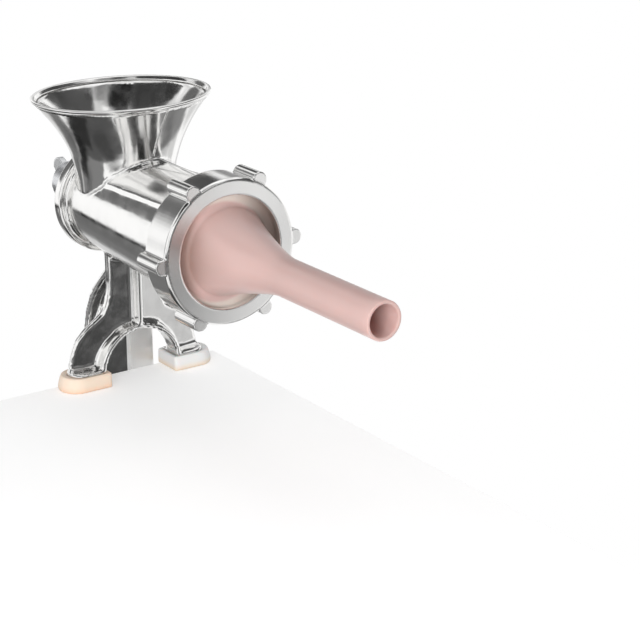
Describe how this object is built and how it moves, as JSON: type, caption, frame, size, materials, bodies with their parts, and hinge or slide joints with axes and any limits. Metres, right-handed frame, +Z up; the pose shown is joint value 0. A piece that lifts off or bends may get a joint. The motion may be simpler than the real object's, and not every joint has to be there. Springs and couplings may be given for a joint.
{
  "type": "hand crank meat grinder",
  "caption": "Table grinder with an oval hopper, crank-turned auger, knife and plate, a ring nut holding a sausage funnel, and a clamp under its padded legs.",
  "frame": {"origin": "midway between the two feet, on the table top that the pads' undersides rest on", "axes": "+X along the table edge, -Y the way the outlet and funnel point, +Y towards the crank, +Z up"},
  "size_m": [0.175, 0.4125, 0.3021],
  "materials": {
    "cast_aluminium": "polished cast aluminium, bright with soft dark reflections",
    "turned_aluminium": "turned aluminium, satin front face and polished edge",
    "auger_aluminium": "tumbled cast aluminium",
    "ground_steel": "ground carbon steel",
    "zinc_steel": "bright zinc plate",
    "bush_bronze": "sintered bronze",
    "fibre": "vulcanised fibre",
    "funnel_plastic": "milky pink translucent food plastic",
    "grip_wood": "lacquered beech",
    "pad_cream": "soft cream plastic sleeve",
    "pad_white": "soft white plastic sleeve",
    "facing_rubber": "black rubber"
  },
  "bodies": {
    "frame": {"body_casting": "cast_aluminium", "grinding_plate": "ground_steel", "plate_key_pin": "zinc_steel", "rear_bush": "bush_bronze", "thrust_washer": "fibre", "foot_pad_left": "pad_cream", "foot_pad_right": "pad_white"},
    "crank": {"auger": "auger_aluminium", "knife_stud": "ground_steel", "cross_knife": "ground_steel", "crank_arm": "cast_aluminium", "grip_spindle": "zinc_steel", "grip_washers": "zinc_steel"},
    "grip": {"crank_grip": "grip_wood"},
    "crank_fastening_washer": {"crank_washer": "zinc_steel"},
    "crank_fastening_screw": {"crank_wing_screw": "zinc_steel"},
    "funnel": {"sausage_funnel": "funnel_plastic"},
    "nut": {"ring_nut": "turned_aluminium"},
    "clamp_foot": {"clamp_pad": "zinc_steel", "clamp_pad_facing": "facing_rubber"},
    "clamp_handle": {"clamp_screw": "zinc_steel", "clamp_wing": "cast_aluminium", "clamp_wing_pin": "zinc_steel"}
  },
  "joints": [
    {"name": "crank_turn", "type": "hinge", "parent": "frame", "child": "crank", "pos_m": [0, 0.045, 0.106], "axis": [0, 1, 0], "continuous": true},
    {"name": "grip_spin", "type": "hinge", "parent": "crank", "child": "grip", "pos_m": [0.10725, 0.11, 0.01601], "axis": [0, 1, 0], "continuous": true},
    {"name": "washer_travel", "type": "slide", "parent": "crank", "child": "crank_fastening_washer", "axis": [0, 1, 0], "range_m": [0, 0.01]},
    {"name": "wing_screw_turn", "type": "hinge", "parent": "crank_fastening_washer", "child": "crank_fastening_screw", "pos_m": [0, 0.08, 0.106], "axis": [0, 1, 0], "range_deg": [0, 2881]},
    {"name": "funnel_travel", "type": "slide", "parent": "frame", "child": "funnel", "axis": [0, -1, 0], "range_m": [0, 0.012]},
    {"name": "ring_nut_turn", "type": "hinge", "parent": "funnel", "child": "nut", "pos_m": [0, -0.1, 0.106], "axis": [0, -1, 0], "range_deg": [0, 1441]},
    {"name": "clamp_travel", "type": "slide", "parent": "frame", "child": "clamp_foot", "axis": [0, 0, 1], "range_m": [-0.019, 0.02]},
    {"name": "clamp_screw_turn", "type": "hinge", "parent": "clamp_foot", "child": "clamp_handle", "pos_m": [0, -0.004, -0.06], "axis": [0, 0, 1], "range_deg": [-3422, 3602]}
  ],
  "couplings": [
    {"joint": "wing_screw_turn", "follows": "washer_travel", "rad_per_m": 5026.5},
    {"joint": "ring_nut_turn", "follows": "funnel_travel", "rad_per_m": 2094.4},
    {"joint": "clamp_screw_turn", "follows": "clamp_travel", "rad_per_m": 3141.6}
  ]
}
